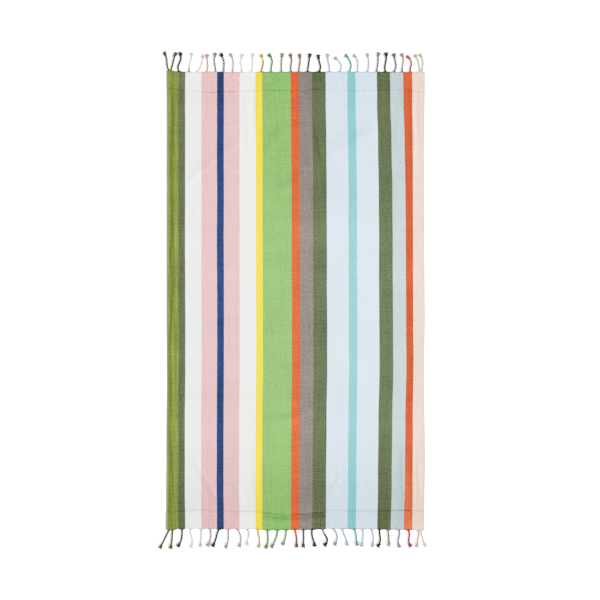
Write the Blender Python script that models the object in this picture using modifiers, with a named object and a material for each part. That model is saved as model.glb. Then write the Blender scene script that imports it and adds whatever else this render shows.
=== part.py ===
"""Beach towel: one flat-woven striped cotton cloth, with a knotted fringe along both short ends.

Metres, +Z up. The towel lies spread out in the XY plane, its stripes along Y, and the origin is the
middle of the cloth's underside. The long edges and the ends run a little unevenly, and the cloth
rests flat apart from its low folds.
"""

import math
from collections import namedtuple

import bmesh
import bpy
from mathutils import Vector
from mathutils.geometry import delaunay_2d_cdt

MM = 0.001

# Driving sizes of the cloth
CLOTH_WIDTH = 1.000
CLOTH_LENGTH = 1.772
CLOTH_THICKNESS = 0.0015
PIECE_GAP = 0.0003

# The strip of each fringe: the last of the weave, parted from the cloth's edge
STRIP_WIDTH = 0.007
END_RIPPLE = 0.0004
END_RIPPLE_LENGTH = 0.170
SCALLOP_DEPTH = 0.0045
SCALLOP_SPACING = 0.030
SCALLOP_POINTS = 4

# A strand: a twisted yarn with four sides, its flat side down, then its knot and the tuft past it
STRAND_WIDTH = 0.0050
STRAND_TOP_WIDTH = 0.0034
STRAND_HEIGHT = 0.0046
STRAND_ROOT_DEPTH = 0.0040
TWIST_STEP = 0.0050
TWIST_RELIEF = 0.10
KNOT_LENGTH = 0.0095
TUFT_LENGTH = 0.0065
PATH_SAMPLES = 40
FLAT_ANGLE = 0.002

# The fine line across each end, which stands a little proud
HEM_FROM_END = 0.073
HEM_HALF_WIDTH = 0.004
HEM_HEIGHT = 0.0008

# How closely the cloth is divided
OUTLINE_STEP = 0.055
HEM_STEP = 0.045
FOLD_STEP = 0.026
FIELD_STEP = 0.090
POINT_SPACING = 0.0065
EDGE_MARGIN = 0.004
FOLD_TAPER = 0.070

COLLECTION_NAME = "beach_towel"

# Surface colours, linear: the mean of the cloth's stripes, and of the darker bare yarns
CLOTH_COLOR = (0.52, 0.52, 0.43, 1.0)
YARN_COLOR = (0.33, 0.33, 0.27, 1.0)
COTTON_ROUGHNESS = 0.95

# How far each long edge stands outside its straight line, in millimetres, at places up the towel
EdgeCourse = namedtuple("EdgeCourse", "y left right")
EDGE_COURSE = [
    EdgeCourse(-886, 4.0, -1.5),
    EdgeCourse(-838, 3.0, -1.5),
    EdgeCourse(-604, 1.0, 1.5),
    EdgeCourse(-294, -1.5, -2.5),
    EdgeCourse(-61, 0.5, 1.0),
    EdgeCourse(250, 0.5, -2.0),
    EdgeCourse(561, 0.5, -2.0),
    EdgeCourse(886, 0.0, 0.5),
]

# How far each end stands outside its straight line, in millimetres, at places across the towel
EndCourse = namedtuple("EndCourse", "x bottom top")
END_COURSE = [
    EndCourse(-500, 4.0, 4.0),
    EndCourse(-440, 0.0, 0.0),
    EndCourse(-100, 1.0, -1.0),
    EndCourse(100, -2.0, 0.0),
    EndCourse(250, 0.0, 0.0),
    EndCourse(400, 2.0, -1.0),
    EndCourse(500, 6.0, 0.0),
]

# The folds, in millimetres: the crest's two ends, how far its middle bends aside, how far it wanders
# in how many waves, and the fold's half width and height. Bend and wander are to the left of the
# way from the first end to the second.
Fold = namedtuple("Fold", "x0 y0 x1 y1 bend wander waves half_width height")
FOLDS = {
    "left edge, upper": Fold(-481, 800, -478, -40, 0, 7, 5.0, 13, 3.5),
    "left edge, lower": Fold(-484, -75, -452, -862, -9, 3, 3.0, 14, 3.0),
    "upper left arc": Fold(-434, 445, -216, 650, -24, 0, 1.0, 22, 3.0),
    "lower left arc": Fold(-368, -628, -286, -806, -16, 0, 1.0, 18, 3.0),
    "white stripe, upper": Fold(-149, 872, -152, 650, 2, 1, 2.0, 14, 2.5),
    "white stripe, lower": Fold(-154, -525, -150, -872, -2, 1, 2.0, 14, 2.5),
    "dark green stripe": Fold(59, 822, 104, 545, -6, 3, 1.5, 17, 4.0),
    "middle diagonal": Fold(-131, -482, 70, -406, 12, 2, 2.0, 27, 3.5),
    "across the right half": Fold(78, -462, 490, -455, 3, 3, 2.0, 17, 2.0),
    "upper right diagonal": Fold(190, 604, 300, 652, 5, 0, 1.0, 20, 2.5),
    "lower right diagonal": Fold(136, -780, 190, -655, 8, 0, 1.0, 18, 2.5),
    "pucker at the lower hem": Fold(-128, -848, 118, -838, -6, 2, 2.5, 16, 4.5),
    "orange stripe, upper": Fold(440, 868, 428, 690, 4, 1, 2.0, 15, 3.0),
    "orange stripe, lower": Fold(428, -600, 440, -862, 5, 1, 2.0, 16, 3.5),
}
# Places across a fold where the cloth gets points, as shares of its half width
FOLD_PROFILE = (-1.0, -0.5, 0.0, 0.5, 1.0)
HEM_PROFILE = (-1.0, 0.0, 1.0)

# The strands from left to right, in millimetres: where the root and the knotted end lie across the
# towel, how far the knotted end reaches out, how far the strand bows and sways to the right on its
# way, and how far its tuft leans to the right.
Strand = namedtuple("Strand", "root knot reach bow sway lean")
TOP_STRANDS = [
    Strand(-492, -509, 73, -1, -2, -3),
    Strand(-485, -470, 69, 0, 1, 5),
    Strand(-452, -448, 70, -2, -5, 6),
    Strand(-413, -406, 68, -5, -2, 0),
    Strand(-382, -358, 62, 4, 1, -4),
    Strand(-344, -340, 65, 2, 1, 2),
    Strand(-310, -316, 68, -3, 1, 0),
    Strand(-280, -289, 68, 6, -1, -4),
    Strand(-244, -253, 68, 6, -1, -3),
    Strand(-207, -209, 66, -6, 1, 4),
    Strand(-171, -168, 66, -1, 1, 3),
    Strand(-134, -133, 64, 6, -1, -4),
    Strand(-95, -102, 65, 6, -3, -3),
    Strand(-55, -55, 67, -3, 1, 0),
    Strand(-17, -20, 67, 1, -2, -3),
    Strand(12, 15, 64, 2, -1, -1),
    Strand(46, 54, 65, 0, 0, 0),
    Strand(90, 88, 61, 6, 2, 1),
    Strand(131, 124, 65, 1, 2, 3),
    Strand(171, 155, 54, 14, -1, -3),
    Strand(208, 196, 65, 11, 1, -2),
    Strand(241, 229, 65, 8, -3, -4),
    Strand(279, 278, 68, 5, 1, -3),
    Strand(314, 322, 71, 0, 0, 5),
    Strand(349, 350, 69, -1, -2, -3),
    Strand(381, 382, 67, 6, 4, -4),
    Strand(414, 412, 68, 1, -2, -4),
    Strand(445, 437, 60, 8, -4, -6),
    Strand(483, 467, 63, 4, -1, -4),
    Strand(491, 486, 65, 6, -1, -4),
]
BOTTOM_STRANDS = [
    Strand(-491, -524, 68, 0, 0, -3),
    Strand(-478, -485, 68, 1, 0, -2),
    Strand(-440, -455, 64, 4, -1, -2),
    Strand(-407, -406, 64, 3, -2, -3),
    Strand(-366, -370, 64, -1, 0, -3),
    Strand(-332, -340, 61, 5, 0, -3),
    Strand(-298, -320, 63, 1, -1, -1),
    Strand(-261, -271, 67, 4, -1, -4),
    Strand(-226, -220, 64, 9, 1, -3),
    Strand(-187, -189, 60, 2, 5, 4),
    Strand(-147, -143, 64, 3, -2, -3),
    Strand(-109, -114, 68, 4, -1, -1),
    Strand(-70, -93, 67, 2, 0, 0),
    Strand(-34, -50, 57, 1, -1, -2),
    Strand(-4, 4, 64, 3, 2, 0),
    Strand(30, 29, 65, 1, 0, -2),
    Strand(65, 72, 60, -6, -1, -2),
    Strand(106, 114, 62, 9, -2, -3),
    Strand(145, 151, 61, 12, 0, -2),
    Strand(181, 199, 57, 1, -1, -3),
    Strand(228, 239, 59, 1, 1, -2),
    Strand(260, 258, 62, 2, 1, -1),
    Strand(295, 297, 62, 4, 0, -4),
    Strand(326, 322, 62, 4, -2, -4),
    Strand(359, 362, 58, 0, 0, -2),
    Strand(401, 401, 64, -1, 3, 0),
    Strand(437, 446, 62, -1, 4, 3),
    Strand(477, 468, 62, 2, 1, -3),
    Strand(486, 502, 61, -2, 0, 2),
]

# The knot, then the tuft past it: how far back from its far end a ring is, as a share of its
# length, and how many times wider than the strand it is there
KNOT_RINGS = [(1.00, 1.05), (0.72, 1.95), (0.36, 2.30), (0.0, 1.60)]
TUFT_RINGS = [(0.72, 1.15), (0.0, 1.70)]
TUFT_LEAN_SHARE = 0.8


def smooth_course(rows, key, column, place):
    """A column of a course table, in metres, eased from row to row at a place in metres."""
    place = place / MM
    first = rows[0]
    if place <= getattr(first, key):
        return getattr(first, column) * MM
    for second in rows[1:]:
        if place <= getattr(second, key):
            share = (place - getattr(first, key)) / (getattr(second, key) - getattr(first, key))
            share = share * share * (3.0 - 2.0 * share)
            low = getattr(first, column)
            return (low + (getattr(second, column) - low) * share) * MM
        first = second
    return getattr(first, column) * MM


def side_x(side, y):
    """Where the cloth's long edge lies at y. Side is -1 for the left edge and 1 for the right."""
    column = "left" if side < 0 else "right"
    return side * (CLOTH_WIDTH / 2 + smooth_course(EDGE_COURSE, "y", column, y))


def end_y(end, x):
    """Where the weave ends at x. End is -1 for the bottom end and 1 for the top."""
    column = "bottom" if end < 0 else "top"
    ripple = END_RIPPLE * math.sin(2.0 * math.pi * x / END_RIPPLE_LENGTH + end)
    return end * (CLOTH_LENGTH / 2 + smooth_course(END_COURSE, "x", column, x) + ripple)


def parting_y(end, x):
    """The edge between the cloth and a fringe's strip."""
    return end_y(end, x) - end * STRIP_WIDTH


def spread(low, high, step):
    """Even places from low to high, both included, about a step apart."""
    count = max(1, round(abs(high - low) / step))
    return [low + (high - low) * k / count for k in range(count + 1)]


def fold_crest(fold, share):
    """How far aside of its straight line a fold's crest lies, in metres."""
    bend = fold.bend * 4.0 * share * (1.0 - share)
    wander = fold.wander * math.sin(2.0 * math.pi * fold.waves * share)
    return (bend + wander) * MM


def fold_frame(fold):
    """A fold's first end, the way along it, the way to its left, and its length."""
    start = Vector((fold.x0, fold.y0)) * MM
    span = Vector((fold.x1, fold.y1)) * MM - start
    along = span.normalized()
    return start, along, Vector((-along.y, along.x)), span.length


def fold_height(fold, x, y):
    """How high one fold lifts the cloth at a point of the plan."""
    start, along, aside, length = fold_frame(fold)
    offset = Vector((x, y)) - start
    share = offset.dot(along) / length
    if not 0.0 < share < 1.0:
        return 0.0
    across = (offset.dot(aside) - fold_crest(fold, share)) / (fold.half_width * MM)
    if abs(across) >= 0.999:
        return 0.0
    taper = min(1.0, share * length / FOLD_TAPER, (1.0 - share) * length / FOLD_TAPER)
    taper = math.sin(taper * math.pi / 2.0)
    swell = 0.82 + 0.18 * math.cos(2.0 * math.pi * fold.waves * share)
    return fold.height * MM * taper * swell * (1.0 - across * across) ** 2


def hem_line_y(end, x):
    """The middle of the fine line across an end."""
    return end_y(end, x) - end * HEM_FROM_END


def cloth_height(x, y):
    """How high the cloth's underside is above the floor."""
    height = sum(fold_height(fold, x, y) for fold in FOLDS.values())
    for end in (-1, 1):
        across = (y - hem_line_y(end, x)) / HEM_HALF_WIDTH
        if abs(across) < 0.999:
            height += HEM_HEIGHT * (1.0 - across * across)
    return height


def side_places(side, half):
    """Places up a long edge for its points: evenly apart, and closer where the fine lines end."""
    places = spread(-half, half, OUTLINE_STEP)[1:-1]
    for end in (-1, 1):
        middle = hem_line_y(end, side * CLOTH_WIDTH / 2)
        places = [y for y in places if abs(y - middle) > 3.0 * HEM_HALF_WIDTH]
        places += [middle + place * HEM_HALF_WIDTH for place in HEM_PROFILE]
    return sorted(places)


def cloth_outline():
    """The cloth's outline in plan, anticlockwise from its bottom left corner."""
    half = CLOTH_LENGTH / 2 - STRIP_WIDTH
    across = spread(-CLOTH_WIDTH / 2, CLOTH_WIDTH / 2, OUTLINE_STEP)[1:-1]
    corner = {}
    for end in (-1, 1):
        for side in (-1, 1):
            x = side_x(side, end * half)
            corner[side, end] = Vector((x, parting_y(end, x)))
    outline = [corner[-1, -1]]
    outline += [Vector((x, parting_y(-1, x))) for x in across]
    outline.append(corner[1, -1])
    outline += [Vector((side_x(1, y), y)) for y in side_places(1, half)]
    outline.append(corner[1, 1])
    outline += [Vector((x, parting_y(1, x))) for x in reversed(across)]
    outline.append(corner[-1, 1])
    outline += [Vector((side_x(-1, y), y)) for y in reversed(side_places(-1, half))]
    return outline


def fold_points(fold):
    """Points of the plan along a fold's crest, flanks and feet."""
    start, along, aside, length = fold_frame(fold)
    for distance in spread(0.0, length, FOLD_STEP):
        crest = fold_crest(fold, distance / length)
        for place in FOLD_PROFILE:
            yield start + along * distance + aside * (crest + place * fold.half_width * MM)


def hem_points(end):
    """Points of the plan along the fine line across an end."""
    for x in spread(-CLOTH_WIDTH / 2 + EDGE_MARGIN, CLOTH_WIDTH / 2 - EDGE_MARGIN, HEM_STEP):
        for place in HEM_PROFILE:
            yield Vector((x, hem_line_y(end, x) + place * HEM_HALF_WIDTH))


def field_points():
    """A coarse field of points that fills the cloth between its folds."""
    for row, y in enumerate(spread(-CLOTH_LENGTH / 2, CLOTH_LENGTH / 2, FIELD_STEP)):
        shift = FIELD_STEP / 2 if row % 2 else 0.0
        for x in spread(-CLOTH_WIDTH / 2, CLOTH_WIDTH / 2, FIELD_STEP):
            yield Vector((x + shift, y))


def inside_cloth(point):
    """Is a point of the plan inside the cloth, clear of its edges?"""
    if not side_x(-1, point.y) + EDGE_MARGIN < point.x < side_x(1, point.y) - EDGE_MARGIN:
        return False
    return parting_y(-1, point.x) + EDGE_MARGIN < point.y < parting_y(1, point.x) - EDGE_MARGIN


def cloth_plan():
    """The cloth's plan as points and triangles, finer at its folds."""
    outline = cloth_outline()
    rim = [(k, (k + 1) % len(outline)) for k in range(len(outline))]
    points = list(outline)

    def add(candidates, spacing):
        for point in candidates:
            if inside_cloth(point) and all((point - other).length > spacing for other in points):
                points.append(point)

    for end in (-1, 1):
        add(hem_points(end), HEM_HALF_WIDTH * 0.9)
    for fold in FOLDS.values():
        add(fold_points(fold), POINT_SPACING)
    add(field_points(), FIELD_STEP / 2)
    plan, _edges, faces = delaunay_2d_cdt(points, rim, [], 1, 1e-6)[:3]
    return plan, faces


def linked(name, data):
    """A new object in the towel's collection."""
    made = bpy.data.objects.new(name, data)
    bpy.data.collections[COLLECTION_NAME].objects.link(made)
    return made


def material(name, color):
    """A matte cotton material."""
    made = bpy.data.materials.new(name)
    made.use_nodes = True
    shader = made.node_tree.nodes["Principled BSDF"]
    shader.inputs["Base Color"].default_value = color
    shader.inputs["Roughness"].default_value = COTTON_ROUGHNESS
    shader.inputs["Metallic"].default_value = 0.0
    return made


def make_cloth():
    """The cloth: one sheet with its low folds, made thick upward from its underside."""
    plan, faces = cloth_plan()
    shape = bmesh.new()
    corners = [shape.verts.new((p.x, p.y, cloth_height(p.x, p.y))) for p in plan]
    for face in faces:
        shape.faces.new([corners[k] for k in face])
    bmesh.ops.recalc_face_normals(shape, faces=shape.faces)
    if sum(face.normal.z for face in shape.faces) < 0.0:
        bmesh.ops.reverse_faces(shape, faces=shape.faces)
    mesh = bpy.data.meshes.new("cloth")
    shape.to_mesh(mesh)
    shape.free()
    cloth = linked("cloth", mesh)
    mesh.materials.append(material("striped_cotton", CLOTH_COLOR))
    thick = cloth.modifiers.new("thickness", "SOLIDIFY")
    thick.thickness = CLOTH_THICKNESS
    thick.offset = 1.0
    return cloth


def strip_outline(end, strands):
    """The plan of a fringe's strip: its edge along the cloth, then the scallops between its roots."""
    half = CLOTH_LENGTH / 2
    corners = [side_x(side, end * half) for side in (-1, 1)]
    inner = [(x, parting_y(end, x) + end * PIECE_GAP) for x in spread(*corners, OUTLINE_STEP)]
    outer = []
    roots = [corners[0]] + [strand.root * MM for strand in strands] + [corners[1]]
    for first, second in zip(roots, roots[1:]):
        depth = SCALLOP_DEPTH * min(1.0, (second - first) / SCALLOP_SPACING)
        for k in range(SCALLOP_POINTS):
            share = k / SCALLOP_POINTS
            x = first + (second - first) * share
            rise = SCALLOP_DEPTH - depth * math.sin(math.pi * share) ** 0.7
            outer.append((x, end_y(end, x) + end * rise))
    outer[0] = (corners[0], end_y(end, corners[0]))
    outer.append((corners[1], end_y(end, corners[1])))
    return inner + outer[::-1]


def flat_mesh(name, outline, thickness):
    """A flat piece of a thickness, resting on the floor, from its outline in plan."""
    curve = bpy.data.curves.new(name, "CURVE")
    curve.dimensions = "2D"
    curve.fill_mode = "BOTH"
    curve.extrude = thickness / 2
    spline = curve.splines.new("POLY")
    spline.points.add(len(outline) - 1)
    for point, (x, y) in zip(spline.points, outline):
        point.co = (x, y, 0.0, 1.0)
    spline.use_cyclic_u = True
    return meshed(name, curve, thickness / 2)


def meshed(name, curve, height=0.0):
    """The closed mesh that a curve makes, lifted by a height."""
    guide = linked(name, curve)
    guide.location.z = height
    bpy.context.view_layer.update()
    evaluated = guide.evaluated_get(bpy.context.evaluated_depsgraph_get())
    mesh = bpy.data.meshes.new_from_object(evaluated)
    mesh.transform(guide.matrix_world)
    bpy.data.objects.remove(guide)
    bpy.data.curves.remove(curve)
    shape = bmesh.new()
    shape.from_mesh(mesh)
    bmesh.ops.remove_doubles(shape, verts=shape.verts, dist=1e-6)
    bmesh.ops.recalc_face_normals(shape, faces=shape.faces)
    shape.to_mesh(mesh)
    shape.free()
    return mesh


def strand_route(end, strand):
    """Fine points of a strand's middle in plan, from inside the strip to the tip of its tuft."""
    root = strand.root * MM
    edge = end_y(end, root)
    route = [Vector((root, edge - end * STRAND_ROOT_DEPTH))]
    for k in range(PATH_SAMPLES + 1):
        share = k / PATH_SAMPLES
        x = strand.root + (strand.knot - strand.root) * share
        x += strand.bow * math.sin(math.pi * share) + strand.sway * math.sin(2.0 * math.pi * share)
        route.append(Vector((x * MM, edge + end * strand.reach * MM * share)))
    heading = (route[-1] - route[-2]).normalized() * TUFT_LENGTH
    lean = Vector((strand.lean * MM * TUFT_LEAN_SHARE, 0.0))
    route.append(route[-1] + (heading + lean).normalized() * TUFT_LENGTH)
    return route


def point_along(route, distance):
    """The point at a distance along a route."""
    for first, second in zip(route, route[1:]):
        step = (second - first).length
        if distance <= step:
            return first.lerp(second, distance / step)
        distance -= step
    return route[-1]


def strand_rings(length):
    """Where along a strand its rings are, and how wide the strand is there."""
    run = length - TUFT_LENGTH - KNOT_LENGTH
    rings = [(0.0, 1.25), (STRAND_ROOT_DEPTH + 0.003, 1.10)]
    stations = spread(rings[-1][0], run, TWIST_STEP)[1:-1]
    for k, station in enumerate(stations):
        rings.append((station, 1.0 + TWIST_RELIEF * (-1) ** k))
    rings += [(run + (1.0 - share) * KNOT_LENGTH, width) for share, width in KNOT_RINGS]
    rings += [(length - share * TUFT_LENGTH, width) for share, width in TUFT_RINGS]
    return rings


def strand_profile():
    """The section of a strand: its flat side on the floor, narrower at the top."""
    low, high = STRAND_WIDTH / 2, STRAND_TOP_WIDTH / 2
    curve = bpy.data.curves.new("strand_profile", "CURVE")
    curve.dimensions = "2D"
    spline = curve.splines.new("POLY")
    corners = [(-low, 0.0), (low, 0.0), (high, STRAND_HEIGHT), (-high, STRAND_HEIGHT)]
    spline.points.add(len(corners) - 1)
    for point, (x, y) in zip(spline.points, corners):
        point.co = (x, y, 0.0, 1.0)
    spline.use_cyclic_u = True
    return curve


def make_strands(name, end, strands, profile):
    """Some strands of a fringe, as one object of separate closed tubes that rest on the floor."""
    curve = bpy.data.curves.new(name, "CURVE")
    curve.dimensions = "2D"
    curve.bevel_mode = "OBJECT"
    curve.bevel_object = profile
    curve.use_fill_caps = True
    for strand in strands:
        route = strand_route(end, strand)
        length = sum((b - a).length for a, b in zip(route, route[1:]))
        rings = strand_rings(length)
        spline = curve.splines.new("POLY")
        spline.points.add(len(rings) - 1)
        for point, (distance, width) in zip(spline.points, rings):
            place = point_along(route, distance)
            point.co = (place.x, place.y, 0.0, 1.0)
            point.radius = width
    return linked(name, meshed(name, curve))


def make_fringe(name, end, strands, surface, profile):
    """A fringe: the scalloped strip with every strand's root joined to it."""
    fringe = linked(name, flat_mesh(name, strip_outline(end, strands), CLOTH_THICKNESS))
    fringe.data.materials.append(surface)
    # Neighbours can touch at their roots, so every other strand is joined first, then the rest.
    for turn in (0, 1):
        tubes = make_strands(f"{name}_strands", end, strands[turn::2], profile)
        union = fringe.modifiers.new("join", "BOOLEAN")
        union.operation = "UNION"
        union.solver = "EXACT"
        union.object = tubes
        bpy.context.view_layer.update()
        evaluated = fringe.evaluated_get(bpy.context.evaluated_depsgraph_get())
        joined = bpy.data.meshes.new_from_object(evaluated)
        fringe.modifiers.clear()
        fringe.data = joined
        bpy.data.objects.remove(tubes)
    merge_flat_faces(joined)
    joined.name = name
    return fringe


def merge_flat_faces(mesh):
    """Merge the slivers that the joins leave in the strip's flat faces."""
    reach = CLOTH_LENGTH / 2 + 2.0 * SCALLOP_DEPTH
    shape = bmesh.new()
    shape.from_mesh(mesh)
    verts = [vert for vert in shape.verts if abs(vert.co.y) < reach]
    edges = [edge for edge in shape.edges if all(abs(vert.co.y) < reach for vert in edge.verts)]
    bmesh.ops.dissolve_limit(shape, angle_limit=FLAT_ANGLE, verts=verts, edges=edges)
    shape.to_mesh(mesh)
    shape.free()


def main():
    for old in list(bpy.data.objects):
        bpy.data.objects.remove(old)
    collection = bpy.data.collections.new(COLLECTION_NAME)
    bpy.context.scene.collection.children.link(collection)

    make_cloth()
    yarn = material("fringe_yarn", YARN_COLOR)
    profile = linked("strand_profile", strand_profile())
    make_fringe("fringe_top", 1, TOP_STRANDS, yarn, profile)
    make_fringe("fringe_bottom", -1, BOTTOM_STRANDS, yarn, profile)
    bpy.data.objects.remove(profile)


main()
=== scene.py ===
"""Beach towel: one flat-woven striped cotton cloth with a knotted fringe at both ends, lying spread out.

Metres, +Z up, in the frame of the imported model: the stripes run along Y, the underside rests on the
floor at z = 0, and the towel is seen from straight above.
"""

import math
import random
from collections import namedtuple

import bpy
import numpy as np
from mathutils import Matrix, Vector, noise


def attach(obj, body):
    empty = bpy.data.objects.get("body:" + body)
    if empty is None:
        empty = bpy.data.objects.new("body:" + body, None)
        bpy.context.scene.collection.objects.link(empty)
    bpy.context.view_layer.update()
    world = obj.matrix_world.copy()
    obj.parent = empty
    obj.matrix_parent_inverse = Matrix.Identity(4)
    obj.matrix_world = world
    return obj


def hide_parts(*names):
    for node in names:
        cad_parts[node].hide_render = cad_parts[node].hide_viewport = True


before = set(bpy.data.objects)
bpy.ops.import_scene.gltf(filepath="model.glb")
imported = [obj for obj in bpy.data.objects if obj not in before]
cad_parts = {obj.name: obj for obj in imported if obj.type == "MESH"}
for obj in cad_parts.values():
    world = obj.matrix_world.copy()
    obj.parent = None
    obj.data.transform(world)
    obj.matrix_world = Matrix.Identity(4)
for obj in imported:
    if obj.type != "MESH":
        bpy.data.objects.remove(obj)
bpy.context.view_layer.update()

MM = 0.001
FULL_TURN = 2.0 * math.pi


def table(columns, *rows):
    """The rows of a table, each with its columns by name. What a row leaves out at its end is None."""
    row = namedtuple("Row", columns, defaults=[None] * len(columns.split()))
    return [row(*values) for values in rows]


# Driving sizes of the cloth, the same as the solid's
CLOTH_WIDTH = 1.000
CLOTH_LENGTH = 1.772
HALF_WIDTH = CLOTH_WIDTH / 2
HALF_LENGTH = CLOTH_LENGTH / 2
CLOTH_THICKNESS = 0.0015
END_RIPPLE = 0.0004
END_RIPPLE_LENGTH = 0.170
SCALLOP_DEPTHS = {1: 0.0030, -1: 0.0042}
SCALLOP_SPACING = 0.030
SCALLOP_ROUNDNESS = 0.7
HEM_FROM_END = 0.073
HEM_HALF_WIDTH = 0.004
HEM_HEIGHT = 0.0008
FOLD_TAPER = 0.070
FOLD_SWELL = 0.18
STRAND_ROOT_DEPTH = 0.0040
KNOT_LENGTH = 0.0095
TUFT_LENGTH = 0.0065
TUFT_LEAN_SHARE = 0.8
PATH_SAMPLES = 40

# How far the uneven edges are felt inside the cloth
SIDE_REACH = 0.050
END_REACH_FROM = 0.300
END_REACH_TO = 0.100
SCALLOP_REACH = 0.012

# The cloth's grid: how far apart its points are, in millimetres, with more columns in the stripes
# that have fine creases
COLUMN_STEP = 6.2
COLUMN_STEPS = {
    "olive": 3.2,
    "grey green": 3.2,
    "first orange": 4.0,
    "first dark green": 4.4,
    "second orange": 4.8,
    "peach": 4.8,
}
ROW_STEP = 8.4
HEM_ROW_STEP = 1.9
END_ROW_STEP = 2.6

# An edge of the sheet that bends by more than this angle, in radians, looks sharp
SHARP_ANGLE = 0.7

# The light unevenness of the cloth, in millimetres: two rows for all of it, and two for the puckers
# past the fine lines
UNEVENNESS = table(
    "height x_length y_length slant layer past_line",
    (0.7, 110, 110, 0.0, 0.0, False),
    (0.4, 22, 44, 0.3, 9.0, False),
    (1.6, 13, 40, 0.7, 3.0, True),
    (1.6, 16, 50, -0.8, 5.0, True),
)
PUCKER_FADE = 0.012

# A strand: two plies twisted round each other
PLY_RADIUS = 0.0019
COIL_RADIUS = 0.00122
TWIST_PITCH = 0.0094
PLY_SIDES = 7
PLY_STEP = 0.0011
PLY_UNEVEN = 0.07
PLY_UNEVEN_LENGTH = 0.0031
PLY_UNEVEN_SHIFT = 2.1
STRAND_START = 0.36
STRAND_START_REACH = 0.0085
KNOT_AXIS = 0.0056
KNOT_RISE = 0.014
KNOT_REACH = 0.004

# A way that leans less than this from straight up gets another way across it
LEAST_SLANT = 0.1

# The knot: the strand wrapped round itself
WRAP_TURNS = 2.15
WRAP_RADIUS = 0.0041
WRAP_FLATNESS = 0.75
WRAP_SPREAD = 0.0058
WRAP_TILT = 0.0016
WRAP_PLY_RADIUS = 0.00125
WRAP_COIL_RADIUS = 0.00105
WRAP_SIDES = 6
WRAP_STEP = 0.0013
WRAP_START = 0.45
WRAP_ROUNDNESS = 0.35

# The tuft past the knot
TUFT_YARNS = 17
TUFT_RADIUS = 0.00062
TUFT_SIDES = 5
TUFT_SPREADS = (0.85, 1.35)
TUFT_REACHES = (0.0065, 0.0095)
TUFT_STRAY = 0.15
TUFT_HALF_WIDTH = 0.0022
TUFT_INSIDE = 0.002
TUFT_START = 0.9
TUFT_UNEVEN = 0.0015
TUFT_BEND = 0.6
TUFT_CREST = 0.0004
TUFT_TIP_HEIGHTS = (0.0005, 0.0035)
TUFT_TAPER = (1.0, 1.1, 1.05, 1.0, 0.75)

# The yarns that gather from the cloth's end into each root
FEWEST_ROOT_YARNS = 5
ROOT_YARN_SPACING = 0.0026
ROOT_YARN_RADIUS = 0.00045
ROOT_YARN_SIDES = 5
ROOT_YARN_TIP = 0.9
ROOT_YARN_POINTS = 9
ROOT_LIFT = 0.0006

# A root yarn's way, in millimetres: the share of its first distance from the root that is left, how far
# outward it is of the cloth's end at its own start, at the place it has come to or at the root, and how
# high: a share of the cloth's top, a share of the strand's middle and a height of its own. Its random
# lift is felt where the last column says so.
ROOT_WAY = table(
    "aside edge out of_top of_strand height lifted",
    (1.00, "own", -3.5, 1.0, 0, -0.2, 0),
    (1.00, "own", -1.0, 1.0, 0, 0.3, 0),
    (0.85, "own", 0.2, 1.0, 0, 0.0, 0),
    (0.45, "passed", 0.0, 0.7, 0, 0.0, 1),
    (0.12, "root", -0.4, 0.0, 0, 2.4, 1),
    (0.05, "root", 3.0, 0.0, 1, 0.0, 0),
)

# How far each long edge stands outside its straight line, in millimetres, at places up the towel
EDGE_COURSE = table(
    "y left right",
    (-886, 4.0, -0.5),
    (-838, 3.0, -0.5),
    (-604, 1.5, 2.5),
    (-294, -1.0, -1.5),
    (-61, 0.5, 1.8),
    (250, 0.5, -0.5),
    (561, 0.5, -1.5),
    (886, 1.0, 1.8),
)

# How far past the solid's end line the weave runs, in millimetres, at places across the towel
WEAVE_COURSE = table(
    "x bottom top",
    (-500, 0.0, 1.0),
    (-170, 1.2, 1.0),
    (-110, 4.6, 1.5),
    (40, 5.4, 1.0),
    (130, 2.2, 1.0),
    (400, 1.5, 1.0),
    (500, 0.0, 0.5),
)

# How far each end stands outside its straight line, in millimetres, at places across the towel
END_COURSE = table(
    "x bottom top",
    (-500, 4.0, 4.0),
    (-440, 0.0, 0.0),
    (-100, 1.0, -1.0),
    (100, -2.0, 0.0),
    (250, 0.0, 0.0),
    (400, 2.0, -1.0),
    (500, 6.0, 0.0),
)

# How much of their bow the stripes have, and how far all of them sway to the right, in millimetres,
# at places up the towel
SWAY_COURSE = table(
    "y share sway",
    (-886, 0.10, 0.0),
    (-717, 0.60, -1.3),
    (-484, 0.81, -1.1),
    (-251, 1.10, 0.3),
    (-57, 0.93, 0.6),
    (176, 0.92, -0.2),
    (409, 0.80, -0.1),
    (633, 0.40, 0.0),
    (769, 0.05, -0.3),
    (886, -0.20, 0.3),
)

# How far the stripes bow to the right at their fullest, in millimetres, at places across the towel
BOW_COURSE = table(
    "x bow",
    (-500, 0.0),
    (-220, 0.0),
    (-130, 2.3),
    (12, 4.3),
    (233, 5.8),
    (317, 8.5),
    (367, 10.0),
    (419, 10.0),
    (452, 3.5),
    (500, 0.0),
)

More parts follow.
